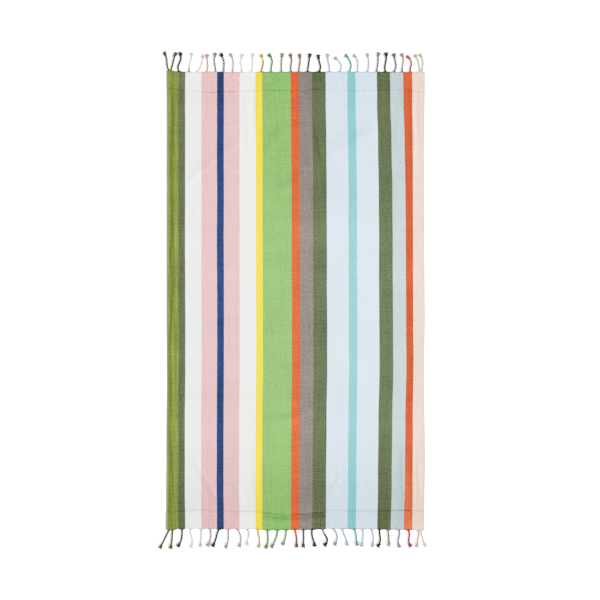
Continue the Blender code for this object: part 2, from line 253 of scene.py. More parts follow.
# How far the fine line across each end strays outward, in millimetres, and how dark it is there as a
# share of its common darkness, partly the line's own and partly painted shade, at places across the towel
HEM_COURSE = table(
    "x bottom top bottom_dark top_dark",
    (-500, 5.0, 7.5, 0.35, 0.9),
    (-455, 5.0, 4.5, 0.40, 0.8),
    (-430, 5.0, 0.5, 0.90, 1.6),
    (-400, 1.0, -2.0, 0.75, 1.8),
    (-350, 4.0, -4.0, 0.70, 1.5),
    (-312, 5.0, -5.5, 0.50, 2.3),
    (-290, -2.0, -1.0, 1.10, 0.2),
    (-265, 4.0, -3.0, 0.50, 2.2),
    (-220, 7.0, -2.0, 0.80, 1.5),
    (-160, 7.0, -1.0, 0.45, 1.8),
    (-120, 11.0, 3.0, 1.90, 1.4),
    (-60, 17.0, 2.0, 1.00, 1.4),
    (-22, 22.0, 1.0, 0.60, 0.9),
    (13, 18.5, 0.0, 1.50, 0.5),
    (38, 21.0, 0.5, 1.50, 0.7),
    (68, 15.0, 6.5, 1.90, 1.3),
    (98, 14.0, 6.0, 1.50, 0.4),
    (125, 5.0, 1.0, 0.50, 0.8),
    (300, 5.0, -0.5, 0.70, 1.1),
    (345, 3.0, 4.5, 0.80, 1.2),
    (430, -1.0, 6.0, 2.00, 0.8),
    (460, -1.0, -2.0, 0.70, 1.3),
    (500, 0.0, -3.5, 0.90, 1.4),
)
HEM_DARK_RANGE = 3.0

# The folds, in millimetres: the crest's two ends, how far its middle bends aside, how far it wanders
# in how many waves, and the fold's half width and height. Bend and wander are to the left of the
# way from the first end to the second.
FOLD_COLUMNS = "x0 y0 x1 y1 bend wander waves half_width height"
FOLDS = table(
    FOLD_COLUMNS,
    # The left edge, upper and lower part
    (-473, 800, -472, -40, 0, 4, 5.0, 13, 2.7),
    (-484, -75, -456, -862, -13, 3, 3.0, 14, 3.0),
    # Arcs in the left half, upper and lower
    (-428, 452, -204, 622, 8, 0, 1.0, 19, 2.3),
    (-398, -616, -292, -798, 1, 0, 1.0, 19, 4.4),
    # The second white stripe at both ends
    (-149, 872, -152, 650, 2, 1, 2.0, 14, 2.5),
    (-154, -525, -150, -872, -2, 1, 2.0, 14, 2.5),
    # The first dark green stripe
    (61, 822, 106, 535, -6, 3, 1.5, 17, 4.6),
    # The middle diagonal, and on across the right half
    (-131, -474, 84, -402, -22, 2, 2.0, 33, 5.0),
    (78, -462, 490, -455, 3, 3, 2.0, 24, 1.3),
    # Diagonals in the right half, upper and lower
    (184, 593, 306, 658, 2, 0, 1.0, 19, 2.2),
    (140, -776, 190, -655, 8, 0, 1.0, 18, 2.0),
    # The pucker at the lower fine line
    (-128, -850, 118, -838, -7, 2, 2.5, 16, 3.8),
    # The second orange stripe at both ends
    (418, 868, 420, 690, 2, 1, 2.0, 16, 2.6),
    (418, -560, 424, -862, 0, 1, 2.0, 18, 4.4),
)

# The finer creases, which the solid leaves out, in the same columns. A negative height is a trough.
CREASES = table(
    FOLD_COLUMNS,
    # The left edge from the top down, and one inside it
    (-478, 860, -473, 600, 3, 2, 2.0, 7, 1.8),
    (-472, 640, -474, 330, -2, 3, 2.5, 7, 1.5),
    (-473, 370, -472, 60, 2, 3, 2.0, 8, 1.3),
    (-470, 90, -485, -230, -3, 3, 3.0, 7, 1.8),
    (-484, -250, -481, -560, 2, 2, 2.0, 8, 2.0),
    (-478, -540, -466, -790, -4, 2, 2.0, 7, 2.2),
    (-458, 420, -462, 90, 3, 3, 2.0, 6, -0.9),
    # The grey green stripe from the top down
    (-453, 795, -449, 665, 0, 0, 1.0, 12, 1.8),
    (-449, 690, -443, 420, 2, 4, 3.0, 9, 1.5),
    (-438, 380, -446, -120, 2, 4, 3.0, 9, 1.6),
    (-444, -230, -440, -720, 2, 5, 3.0, 9, 2.2),
    # The first white stripe
    (-406, 306, -364, 400, 0, 0, 1.0, 15, 0.9),
    (-426, -596, -388, -640, 2, 0, 1.0, 13, 1.6),
    # The first pink stripe
    (-336, 800, -350, 610, 6, 1, 1.0, 12, 0.9),
    (-360, -504, -312, -584, 0, 0, 1.0, 12, 1.2),
    # The second pink stripe
    (-272, 800, -248, 640, -4, 0, 1.0, 12, 1.5),
    (-244, -704, -202, -806, 2, 0, 1.0, 17, 4.2),
    # Beside the arcs in the left half
    (-284, 592, -214, 624, 2, 0, 1.0, 12, 1.4),
    (-370, -664, -298, -794, 2, 0, 1.0, 12, 3.0),
    # The second white stripe
    (-196, 800, -184, 560, 5, 1, 1.0, 13, 1.0),
    # Across the green and the taupe stripe
    (-122, 562, -38, 682, 0, 0, 1.0, 30, 4.4),
    (-92, 418, 48, 548, -28, 0, 1.0, 29, 4.6),
    (22, 452, 104, 512, 3, 0, 1.0, 15, 1.8),
    # Beside the middle diagonal, and below its way across the right half
    (-134, -453, 12, -458, -2, 1, 1.0, 16, 2.4),
    (-8, -454, 112, -376, -4, 0, 1.0, 16, 2.2),
    (90, -498, 488, -490, 3, 3, 2.0, 44, 1.8),
    # The first orange and the first dark green stripe
    (-1, -20, 1, -122, 1, 0, 1.0, 9, 2.6),
    (78, 690, 105, 515, -2, 1, 1.5, 9, 4.4),
    # The pale blue stripes
    (112, 546, 330, 668, 2, 0, 1.0, 66, 3.6),
    (122, 556, 204, 604, 2, 0, 1.0, 15, 1.7),
    (128, -560, 176, -700, 6, 0, 1.0, 14, 0.9),
    (126, -776, 168, -690, 3, 0, 1.0, 9, 1.0),
    (219, -795, 258, -690, 3, 0, 1.0, 12, 1.0),
    # The second dark green and the grey blue stripe
    (320, -775, 374, -721, 3, 0, 1.0, 10, 1.2),
    (398, 790, 390, 560, 3, 1, 1.0, 9, 1.0),
    (392, -640, 404, -800, 3, 1, 1.0, 9, 1.2),
    # The second orange and the peach stripe
    (453, 872, 462, 470, 0, 2, 2.0, 13, 3.0),
    (458, -480, 458, -840, 0, 2, 1.5, 11, 2.2),
    (482, 800, 478, 480, 3, 2, 2.0, 8, 1.0),
    (474, -560, 478, -820, 2, 2, 2.0, 10, 2.2),
    # Below and along the lower fine line
    (-120, -859, 34, -857, -3, 2, 2.0, 17, 2.0),
    (-122, -836, -28, -856, -2, 1, 1.5, 6, 1.6),
    (-36, -822, -38, -850, 1, 0, 1.0, 7, 2.2),
    (20, -840, 52, -846, -2, 1, 1.0, 6, 1.2),
    (66, -832, 112, -830, 1, 1, 1.0, 6, 1.0),
)

# The stripes from left to right: where the right edge lies, in millimetres, at the ends of the
# towel, the colour of the cloth, how strongly the painted shade towards the top and the bottom end
# deepens it, and its warp's yarn
STRIPES = table(
    "name right color top bottom yarn",
    ("olive", -455, (143, 153, 70), 0.05, 0.14, "olive"),
    ("grey green", -429.5, (107, 120, 86), 0.0, 0.55, "moss"),
    ("first white", -366, (236, 236, 236), 0.6, 0.8, "white"),
    ("first pink", -305.4, (232, 201, 201), 0.65, 0.9, "pink"),
    ("navy", -279.3, (46, 76, 131), 0.7, 0.4, "navy"),
    ("second pink", -218.4, (232, 201, 201), 0.55, 0.8, "pink"),
    ("second white", -155.5, (238, 238, 237), 0.8, 0.9, "white"),
    ("yellow", -130, (244, 227, 95), 1.4, 1.05, "yellow"),
    ("green", -19, (160, 200, 127), 0.95, 0.67, "green"),
    ("first orange", 12.5, (229, 113, 69), 0.75, 0.3, "orange"),
    ("taupe", 64, (156, 146, 140), 0.7, 0.3, "plum"),
    ("first dark green", 116.5, (113, 124, 89), 0.75, 0.5, "moss"),
    ("first pale blue", 201, (223, 231, 239), 1.5, 1.5, "lilac"),
    ("turquoise", 233, (161, 213, 215), 1.5, 1.2, "turquoise"),
    ("second pale blue", 316.2, (223, 232, 239), 1.8, 1.6, "lilac"),
    ("second dark green", 367.8, (116, 128, 91), 1.05, 0.98, "moss"),
    ("grey blue", 419, (206, 216, 219), 1.15, 1.3, "grey blue"),
    ("second orange", 452.4, (218, 100, 57), -0.1, -0.7, "orange"),
    ("peach", 500, (237, 221, 211), 0.9, 1.0, "beige"),
)

# The bare yarns, which are deeper in colour than the cloth, because no pale weft crosses them
YARNS = {
    "olive": (88, 98, 2),
    "moss": (20, 28, 10),
    "white": (226, 226, 226),
    "grey": (190, 193, 196),
    "pink": (220, 194, 194),
    "rose grey": (184, 170, 172),
    "navy": (14, 20, 54),
    "yellow": (212, 206, 74),
    "green": (98, 150, 88),
    "sage": (148, 168, 116),
    "orange": (210, 96, 56),
    "brick": (140, 62, 54),
    "plum": (86, 76, 84),
    "lilac": (194, 203, 215),
    "turquoise": (120, 198, 192),
    "teal": (88, 150, 150),
    "grey blue": (152, 158, 178),
    "beige": (214, 204, 190),
    "red": (188, 48, 50),
    "thick moss": (12, 18, 6),
    "thick navy": (8, 10, 34),
    "thin white": (246, 246, 246),
}
YARN_THICKNESS = {"thick moss": 1.22, "thick navy": 1.30, "thin white": 0.85}

# The strands from left to right, in millimetres: where the root and the knotted end lie across the
# towel, how far the knotted end reaches out, how far the strand bows and sways to the right on its
# way, how far its tuft leans to the right, and the yarn of its first ply. The second ply is the same,
# or of a second yarn, which may show over a share of the strand from its root.
STRAND_COLUMNS = "root knot reach bow sway lean first second share"
TOP_STRANDS = table(
    STRAND_COLUMNS,
    (-492, -508, 68, 0, -2, -3, "olive"),
    (-485, -468, 66, 0, 0, 5, "olive"),
    (-452, -449, 71, -1, -5, 6, "moss"),
    (-413, -402, 68, -2, -2, 0, "white", "plum", 0.30),
    (-382, -358, 61, 5, 1, -4, "thin white", "pink"),
    (-344, -343, 64, 2, 1, 2, "pink", "rose grey"),
    (-310, -313, 68, -3, 1, 0, "pink", "plum"),
    (-280, -288, 68, 6, -1, -4, "thick navy", "thin white", 0.9),
    (-244, -250, 67, 5, -1, -3, "rose grey", "pink"),
    (-207, -207, 66, -5, 1, 4, "white"),
    (-171, -165, 67, 1, 1, 3, "white"),
    (-134, -131, 64, 6, -1, -4, "yellow", "olive", 0.7),
    (-95, -101, 67, 6, -3, -3, "green"),
    (-55, -52, 68, -2, 0, 0, "green", "sage"),
    (-17, -19, 66, 1, -2, -3, "sage", "brick"),
    (12, 16, 64, 2, -1, -1, "brick", "sage"),
    (46, 55, 66, 0, 0, 0, "plum", "moss"),
    (90, 88, 61, 6, 2, 1, "moss"),
    (131, 125, 65, 1, 2, 3, "lilac", "grey"),
    (171, 156, 53, 14, 0, -3, "lilac"),
    (208, 197, 63, 12, 0, -2, "turquoise", "teal"),
    (241, 230, 63, 7, -2, -4, "lilac"),
    (279, 280, 67, 5, 0, -3, "lilac"),
    (314, 321, 72, 2, 0, 5, "thick moss", "thin white"),
    (349, 352, 70, -2, -2, -3, "moss"),
    (381, 383, 67, 7, 2, -4, "grey blue", "plum"),
    (414, 414, 68, 3, -2, -4, "rose grey", "plum", 0.3),
    (445, 437, 60, 8, -3, -6, "orange", "brick", 0.5),
    (483, 467, 63, 4, -1, -4, "beige"),
    (491, 486, 65, 6, -1, -4, "beige"),
)
BOTTOM_STRANDS = table(
    STRAND_COLUMNS,
    (-491, -524, 68, 0, 0, -3, "olive"),
    (-478, -484, 69, 1, 0, -2, "olive"),
    (-440, -454, 65, 5, -1, -2, "plum", "moss"),
    (-407, -403, 68, 2, -2, -3, "white"),
    (-366, -368, 66, 0, 0, -3, "white", "grey"),
    (-332, -339, 63, 6, 0, -3, "rose grey"),
    (-298, -320, 64, 1, -1, -1, "navy"),
    (-261, -269, 69, 4, -1, -4, "rose grey"),
    (-226, -217, 66, 9, 0, -3, "grey", "rose grey"),
    (-187, -188, 61, 5, 2, 4, "white", "grey", 0.5),
    (-147, -142, 68, 3, -1, -3, "yellow", "rose grey"),
    (-109, -114, 70, 4, -1, -1, "green"),
    (-70, -91, 67, 5, 0, 0, "green", "sage"),
    (-34, -48, 59, 2, -1, -2, "sage", "green", 0.8),
    (-4, 4, 67, 3, 0, 0, "brick", "orange", 0.6),
    (30, 30, 68, 1, 0, -2, "plum"),
    (65, 74, 64, -5, -1, -2, "moss"),
    (106, 115, 64, 7, -5, -3, "moss", "grey", 0.4),
    (145, 154, 62, 12, 0, -2, "lilac", "grey blue"),
    (181, 201, 61, 0, -1, -3, "lilac", "grey"),
    (228, 239, 59, 1, 1, -2, "turquoise", "teal"),
    (260, 258, 63, 3, 1, -1, "lilac"),
    (295, 300, 65, 4, 0, -4, "lilac"),
    (326, 322, 65, 4, -2, -4, "moss"),
    (359, 363, 61, 0, 0, -2, "thick moss", "thin white"),
    (401, 402, 65, -1, 3, 0, "grey blue"),
    (437, 444, 62, 0, 3, 3, "red", "brick"),
    (477, 472, 61, 2, 1, -3, "beige"),
    (486, 503, 60, -2, 0, 2, "beige", "white"),
)
STRANDS = {1: TOP_STRANDS, -1: BOTTOM_STRANDS}
END_NAMES = {1: "top", -1: "bottom"}

# How cotton takes the light
CLOTH_ROUGHNESS = 0.92
YARN_ROUGHNESS = 0.95
COTTON_SPECULAR = 0.2
COTTON_SHEEN = 0.08
COTTON_SHEEN_ROUGHNESS = 0.6

# The camera and the light
IMAGE_SIDE = 600
PIXEL = 0.003885
IMAGE_MIDDLE = (0.0167, 0.0016)
LENS = 100.0
SENSOR = 36.0
FLOOR_SIDE = 40.0
FLOOR_DROP = 0.0002
SKY_STRENGTH = 0.67
LAMP_STRENGTH = 1.68
LAMP_ELEVATION = math.radians(38.0)
LAMP_AZIMUTH = math.radians(-30.0)
LAMP_WIDTH = math.radians(18.0)
FLOOR_COLOR = (0.95, 0.95, 0.95, 1.0)
FLOOR_GLOW = 0.25
WHITE = (1.0, 1.0, 1.0, 1.0)


def linear(color):
    """A colour of 0 to 255 as the linear colour that shaders take."""
    shares = [part / 255 for part in color]
    return tuple(s / 12.92 if s <= 0.04045 else ((s + 0.055) / 1.055) ** 2.4 for s in shares)


def smooth(share):
    """A share from 0 to 1 with soft ends."""
    share = np.clip(share, 0.0, 1.0)
    return share * share * (3.0 - 2.0 * share)


def course(rows, column, places):
    """A column of a table, in metres, eased at places in metres. The first column has the rows' places."""
    keys = np.array([row[0] for row in rows], float)
    values = np.array([getattr(row, column) for row in rows], float)
    places = np.asarray(places, float) / MM
    low = np.clip(np.searchsorted(keys, places) - 1, 0, len(keys) - 2)
    share = smooth((places - keys[low]) / (keys[low + 1] - keys[low]))
    return (values[low] + (values[low + 1] - values[low]) * share) * MM


def end_y(end, x):
    """Where the weave ends at x. End is -1 for the bottom end and 1 for the top."""
    ripple = END_RIPPLE * np.sin(FULL_TURN * np.asarray(x) / END_RIPPLE_LENGTH + end)
    return end * (HALF_LENGTH + course(END_COURSE, END_NAMES[end], x) + ripple)


def scallop_rise(end, x):
    """How far the cloth's end runs past its line, most of all at the roots of the strands."""
    extra = course(WEAVE_COURSE, END_NAMES[end], x)
    roots = np.array([strand.root * MM for strand in STRANDS[end]])
    roots = np.concatenate([[min(-HALF_WIDTH, roots[0] - MM)], roots, [max(HALF_WIDTH, roots[-1] + MM)]])
    x = np.clip(x, roots[0], roots[-1])
    low = np.clip(np.searchsorted(roots, x) - 1, 0, len(roots) - 2)
    gap = roots[low + 1] - roots[low]
    share = np.clip((x - roots[low]) / gap, 0.0, 1.0)
    deepest = SCALLOP_DEPTHS[end]
    depth = deepest * np.minimum(1.0, gap / SCALLOP_SPACING)
    rise = deepest - depth * np.abs(np.sin(math.pi * share)) ** SCALLOP_ROUNDNESS
    rise = np.where(low == 0, deepest * share, rise)
    rise = np.where(low == len(roots) - 2, deepest * (1.0 - share), rise)
    return extra + rise


def cloth_plan(across, along):
    """Where points of the weave lie in plan. Across and along are their places in the even weave."""
    left = course(EDGE_COURSE, "left", along) * smooth(1.0 - (across + HALF_WIDTH) / SIDE_REACH)
    right = course(EDGE_COURSE, "right", along) * smooth(1.0 - (HALF_WIDTH - across) / SIDE_REACH)
    bow = course(BOW_COURSE, "bow", across) * course(SWAY_COURSE, "share", along) / MM
    sway = course(SWAY_COURSE, "sway", along) * smooth((HALF_WIDTH - np.abs(across)) / SIDE_REACH)
    x = across + bow + sway - left + right
    y = along.copy()
    for end in (-1, 1):
        inside = HALF_LENGTH - end * along
        felt = smooth((END_REACH_FROM - inside) / (END_REACH_FROM - END_REACH_TO))
        y += (end_y(end, x) - end * HALF_LENGTH) * felt
        y += end * scallop_rise(end, x) * np.clip(1.0 - inside / SCALLOP_REACH, 0.0, 1.0) ** 2
    return x, y


def fold_height(fold, x, y):
    """How high one fold lifts the cloth at points of the plan."""
    start = np.array([fold.x0, fold.y0]) * MM
    span = np.array([fold.x1, fold.y1]) * MM - start
    length = math.hypot(*span)
    along = span / length
    offset_x = x - start[0]
    offset_y = y - start[1]
    share = (offset_x * along[0] + offset_y * along[1]) / length
    crest = fold.bend * 4.0 * share * (1.0 - share)
    crest = (crest + fold.wander * np.sin(FULL_TURN * fold.waves * share)) * MM
    across = (offset_y * along[0] - offset_x * along[1] - crest) / (fold.half_width * MM)
    taper = np.minimum(1.0, np.minimum(share, 1.0 - share) * length / FOLD_TAPER)
    taper = np.sin(np.clip(taper, 0.0, 1.0) * math.pi / 2.0)
    swell = 1.0 - FOLD_SWELL * (1.0 - np.cos(FULL_TURN * fold.waves * share))
    profile = np.clip(1.0 - across * across, 0.0, 1.0) ** 2
    return fold.height * MM * taper * swell * profile


def past_hem_line(across, along):
    """How far outward of the fine line across its end a point of the weave lies."""
    line = HALF_LENGTH - HEM_FROM_END
    bottom = course(HEM_COURSE, "bottom", across)
    top = course(HEM_COURSE, "top", across)
    return np.abs(along) - line - np.where(along < 0.0, bottom, top)


def rough(x, y, row):
    """Noise from 0 to 1 as a row of the unevenness says, stretched along a slanted way."""
    turned = (x + y * row.slant) / (row.x_length * MM)
    along = y / (row.y_length * MM)
    values = [noise.noise((px, py, row.layer)) for px, py in zip(turned.flat, along.flat)]
    return 0.5 + 0.5 * np.array(values).reshape(x.shape)


def cloth_height(x, y, past_line):
    """How high the cloth's underside is above the floor."""
    height = sum(fold_height(fold, x, y) for fold in FOLDS + CREASES)
    puckered = smooth(past_line / PUCKER_FADE + 0.5)
    for row in UNEVENNESS:
        height += row.height * MM * rough(x, y, row) * (puckered if row.past_line else 1.0)
    across = past_line / HEM_HALF_WIDTH
    height += HEM_HEIGHT * np.clip(1.0 - across * across, 0.0, 1.0)
    return np.maximum(height, 0.0)


def grid_places(marks, steps):
    """Places along one side of the cloth's grid, in metres: the marks, and even places between."""
    places = [marks[0]]
    for low, high, step in zip(marks, marks[1:], steps):
        count = max(1, round((high - low) / step))
        places += [low + (high - low) * (k + 1) / count for k in range(count)]
    return np.array(places) * MM


def column_places():
    """The places of the grid's columns, with one along every edge between two stripes."""
    marks = [-HALF_WIDTH / MM] + [stripe.right for stripe in STRIPES]
    steps = [COLUMN_STEPS.get(stripe.name, COLUMN_STEP) for stripe in STRIPES]
    return grid_places(marks, steps)


def row_places():
    """The places of the grid's rows, closer together at the ends and at the fine lines."""
    half = HALF_LENGTH / MM
    hem = half - HEM_FROM_END / MM
    marks = {}
    for column in ("bottom", "top"):
        strays = [getattr(row, column) for row in HEM_COURSE]
        outer = hem + max(strays) + HEM_HALF_WIDTH / MM
        inner = hem + min(strays) - HEM_HALF_WIDTH / MM
        marks[column] = [half, half - 2.0 * SCALLOP_REACH / MM, outer, inner]
    steps = [END_ROW_STEP, 2.0 * END_ROW_STEP, HEM_ROW_STEP]
    both = [-mark for mark in marks["bottom"]] + marks["top"][::-1]
    return grid_places(both, steps + [ROW_STEP] + steps[::-1])


def object_from(name, corners, faces):
    """A new object with smooth faces."""
    mesh = bpy.data.meshes.new(name)
    mesh.from_pydata(corners, [], faces)
    mesh.polygons.foreach_set("use_smooth", [True] * len(mesh.polygons))
    mesh.update()
    made = bpy.data.objects.new(name, mesh)
    bpy.context.scene.collection.objects.link(made)
    return made


def make_cloth():
    """The cloth: a fine closed sheet whose columns follow its stripes."""
    columns = column_places()
    rows = row_places()
    across, along = np.meshgrid(columns, rows)
    x, y = cloth_plan(across, along)
    past_line = past_hem_line(across, along)
    low = cloth_height(x, y, past_line)
    wide, high = len(columns), len(rows)
    layer = wide * high
    top = np.stack([x, y, low + CLOTH_THICKNESS], -1).reshape(-1, 3)
    under = np.stack([x, y, low], -1).reshape(-1, 3)
    index = np.arange(layer).reshape(high, wide)
    a, b, c, d = index[:-1, :-1], index[:-1, 1:], index[1:, 1:], index[1:, :-1]
    upper = np.stack([a, b, c, d], -1).reshape(-1, 4)
    lower = np.stack([d, c, b, a], -1).reshape(-1, 4) + layer
    rim = np.concatenate([index[0, :-1], index[:-1, -1], index[-1, :0:-1], index[:0:-1, 0]])
    following = np.roll(rim, -1)
    sides = np.stack([rim + layer, following + layer, following, rim], -1)
    corners = np.concatenate([top, under])
    faces = np.concatenate([upper, lower, sides])
    cloth = object_from("towel_cloth", corners.tolist(), faces.tolist())
    cloth.data.set_sharp_from_angle(angle=SHARP_ANGLE)
    corner_of_loop = np.empty(len(cloth.data.loops), np.int32)
    cloth.data.loops.foreach_get("vertex_index", corner_of_loop)
    end_distance = HALF_LENGTH - np.abs(along)
    for name, first, second in (("weave", across, along), ("ends", past_line, end_distance)):
        places = np.tile(np.stack([first, second], -1).reshape(-1, 2), (2, 1))
        places = places[corner_of_loop].astype(np.float32)
        cloth.data.uv_layers.new(name=name).data.foreach_set("uv", places.ravel())
    cloth.data.materials.append(striped_cotton())
    return cloth


class Nodes:
    """The nodes of one material, added one call at a time."""

    def __init__(self, name, roughness, specular=COTTON_SPECULAR, sheen=COTTON_SHEEN):
        self.material = bpy.data.materials.new(name)
        self.material.use_nodes = True
        self.tree = self.material.node_tree
        self.shader = self.tree.nodes["Principled BSDF"]
        self.set("Roughness", roughness)
        self.set("Specular IOR Level", specular)
        self.set("Sheen Weight", sheen)
        self.set("Sheen Roughness", COTTON_SHEEN_ROUGHNESS)

    def set(self, name, value):
        """Sets one of the shader's inputs to a value."""
        self.shader.inputs[name].default_value = value

    def add(self, kind, *values, **settings):
        """A node of a kind with its settings. A value may be a socket, a number or None."""
        made = self.tree.nodes.new(kind)
        for name, setting in settings.items():
            setattr(made, name, setting)
        for socket, value in zip(made.inputs, values):
            self.feed(socket, value)
        return made

    def feed(self, socket, value):
        """Links a socket into another, or sets it to a value."""
        if isinstance(value, bpy.types.NodeSocket):
            self.tree.links.new(value, socket)
        elif value is not None:
            socket.default_value = value

    def math(self, operation, *values, clamp=False):
        """The result of one operation on numbers."""
        return self.add("ShaderNodeMath", *values, operation=operation, use_clamp=clamp).outputs[0]

    def times(self, first, second, clamp=False):
        """The product of two numbers."""
        return self.math("MULTIPLY", first, second, clamp=clamp)

    def times_plus(self, first, second, added, clamp=False):
        """The product of two numbers, and a third number added."""
        return self.math("MULTIPLY_ADD", first, second, added, clamp=clamp)

    def apart(self, first, second):
        """How far two numbers are apart."""
        return self.math("ABSOLUTE", self.math("SUBTRACT", first, second))

    def near(self, distance, reach):
        """A share that falls from 1 where a distance is 0 to 0 at its reach."""
        return self.times_plus(distance, -1.0 / reach, 1.0, clamp=True)

    def mix(self, kind, places, result, values):
        """A Mix node of a kind, with its values at places among its inputs."""
        made = self.add("ShaderNodeMix", data_type=kind)
        for place, value in zip(places, values):
            self.feed(made.inputs[place], value)
        return made.outputs[result]

    def mixed(self, share, first, second):
        """One colour where the share is 0 and the other where it is 1."""
        return self.mix("RGBA", (0, 6, 7), 2, (share, first, second))

    def between(self, share, first, second):
        """One number where the share is 0 and the other where it is 1."""
        return self.mix("FLOAT", (0, 2, 3), 0, (share, first, second))

    def scaled(self, color, factor):
        """A colour made brighter or darker by a factor."""
        return self.add("ShaderNodeVectorMath", color, None, None, factor, operation="SCALE").outputs[0]

    def unevenness(self, place, frequency, detail=1.0, shift=0.0):
        """Noise about zero, mostly within -0.5 and 0.5, at a frequency along each way."""
        place = self.add("ShaderNodeVectorMath", place, frequency, (shift,) * 3, operation="MULTIPLY_ADD")
        made = self.add("ShaderNodeTexNoise", place.outputs[0], None, 1.0, detail, noise_dimensions="3D")
        return self.math("SUBTRACT", made.outputs[0], 0.5)

    def ramp(self, share, rows):
        """A number that eases from row to row. Each row has a place from 0 to 1 and its number."""
        made = self.add("ShaderNodeValToRGB", share)
        made.color_ramp.interpolation = "EASE"
        elements = made.color_ramp.elements
        elements[0].position = rows[0][0]
        elements[-1].position = rows[-1][0]
        for place, _ in rows[1:-1]:
            elements.new(place)
        for element, (_, number) in zip(elements, rows):
            element.color = (number, number, number, 1.0)
        return made.outputs[0]

    def parts(self, place):
        """The first two parts of a place."""
        return self.add("ShaderNodeSeparateXYZ", place).outputs[:2]

    def cover(self, plain, color, relief, strength, depth):
        """Gives the shader its colour, a plain one where no nodes are read, and its fine relief."""
        self.set("Base Color", (*linear(plain), 1.0))
        self.feed(self.shader.inputs["Base Color"], color)
        bump = self.add("ShaderNodeBump")
        for name, value in (("Strength", strength), ("Distance", depth), ("Height", relief)):
            self.feed(bump.inputs[name], value)
        self.feed(self.shader.inputs["Normal"], bump.outputs[0])
        return self.material


# Painted shade along the towel, set as the cloth's density: more towards the ends, deepening the colour
END_SHADE_COURSE = table(
    "y density",
    (-886, 0.24),
    (-800, 0.20),
    (-740, 0.16),
    (-600, 0.07),
    (-400, 0.0),
    (260, 0.0),
    (400, 0.05),
    (560, 0.09),
    (740, 0.13),
    (886, 0.16),
)

# Painted light and shade in bars right across the towel, which make the cloth lighter or darker.
# Each bar's middle and half width are in millimetres, and its tone is in percent.
PAINTED_BARS = table(
    "y half_width tone",
    (-640, 55, -1.8),
    (-510, 64, 4.2),
    (-370, 70, -2.4),
    (-212, 40, 1.3),
    (-100, 70, -1.1),
    (88, 50, 2.8),
    (244, 56, 2.0),
    (455, 105, -2.0),
    (620, 55, -1.4),
    (728, 40, 2.4),
)

# Painted light and shade along the towel: how much lighter or darker all stripes are, in percent
PAINTED_SHADE_COURSE = table(
    "y percent",
    (-886, 0.6),
    (-850, -0.9),
    (-810, -2.9),
    (-770, -3.9),
    (-730, -3.1),
    (-690, -1.5),
    (-640, -0.2),
    (-280, -0.6),
    (-100, 0.0),
    (300, 0.6),
    (500, 1.1),
    (650, 0.6),
    (780, 0.4),
    (886, 1.8),
)

# The ramps hold the painted bars and shade as shares of this range; the bars show at this strength
BAR_RANGE = 10.0
BAR_STRENGTH = 0.16

# The noises of the cloth, in the even weave or drawn out along its warp or its weft: how often they
# change in a metre across and along the towel, their detail, a shift that sets each apart, and how much
# they lighten or darken the cloth
NOISES = table(
    "name way across along detail shift tone",
    ("warp", "warp", 620, 4, 2, 1, 0.30),
    ("weft", "weft", 9, 560, 2, 5, 0.20),
    ("mottle", "even", 170, 150, 1, 7, 0.92),
    ("warp streak", "warp", 230, 7, 1, 16.3, 0.34),
    ("warp line", "warp", 210, 0.7, 1, 31, 0.14),
    ("weft streak", "weft", 14, 240, 1, 17, 0.34),
    ("weft band", "even", 3, 26, 2, 19, 0.22),
    ("cloud", "even", 9, 6, 2, 11, 0.30),
    ("edge wobble", "even", 60, 22, 2, 3, 0),
    ("edge sway", "even", 14, 6, 2, 41, 0),
    ("gather patches", "even", 30, 60, 2, 29, 0),
    ("band wander", "even", 0, 9, 2, 23, 0),
    ("line patches", "even", 26, 2, 2, 37, 0),
)

# How fast the drawn-out noises change from yarn to yarn, and how far two noises move a stripe's edge
WARP_SKEW = 20.0
WEFT_SKEW = 15.0
EDGE_WOBBLE = 0.0010
EDGE_SWAY = 0.0024

# The weave: its yarns, how much it shows, and how much more the dark stripes show of it
WARP_PITCH = 0.0016
WEFT_PITCH = 0.0018
WEAVE_TONE = 0.16
WEAVE_RELIEF = 0.35
CONTRAST_FALL = 0.85
CONTRAST_STEEPNESS = 2.4
CONTRAST_OF_BLACK = 1.9
CLOTH_BUMP = 0.25
CLOTH_BUMP_DEPTH = 0.0003
AVERAGE_COLOR = (185, 192, 176)
WEFT_COLOR = (205, 205, 196)
SELVEDGE = 0.010
SELVEDGE_PALE = 0.32

# The fine lines, the darkening at the very end, and the painted shade past the lower fine line
# The fine line's darkness is partly its own and partly painted shade along it
HEM_DENSITY = 0.03
HEM_LINE_DARK = 0.08
HEM_LINE_DARKER = 0.26
HEM_LINE_HALF_WIDTH = 0.0034
HEM_LINE_WOBBLE = 0.004
HEM_LINE_PATCHES = 0.9
END_DARK = 0.10
END_DARKER = 0.22
END_DARK_REACH = 0.0035
# The painted shade of the pucker: where it lies, how wide, how deep and how patchy
PUCKER_SHADE_PLACE = -0.007
PUCKER_SHADE_HALF_WIDTH = 0.124
PUCKER_SHADE_FADE = 0.006
PUCKER_SHADE_DEPTH = 0.028
PUCKER_SHADE_PATCHES = 2.0
PUCKER_SHADE_DENSITY = 0.20

# Where the painted shade of the fold near the left edge lies, in millimetres, at places up the towel
LEFT_FOLD_SHADE_COURSE = table(
    "y x",
    (-886, -484),
    (-589, -486),
    (-465, -490),
    (-340, -487),
    (-216, -490),
    (-154, -489),
    (-92, -486),
    (-30, -481),
    (33, -478),
    (157, -482),
    (281, -480),
    (343, -478),
    (468, -481),
    (654, -479),
    (716, -476),
    (886, -476),
)
# The painted shade of the fold near the left edge: its range, half width, wander and depth
LEFT_FOLD_SHADE_RANGE = 50.0
LEFT_FOLD_SHADE_HALF_WIDTH = 0.011
LEFT_FOLD_SHADE_WANDER = 0.010
LEFT_FOLD_SHADE = 0.23
STREAKED_TO = -0.455
STREAK_DENSITY = 0.55

# The bare yarns
FIBRE_FREQUENCY = 900.0
FIBRE_TONE = 0.45
PATCH_FREQUENCY = 160.0
PATCH_TONE = 0.30
YARN_BUMP = 0.5
YARN_BUMP_DEPTH = 0.0002


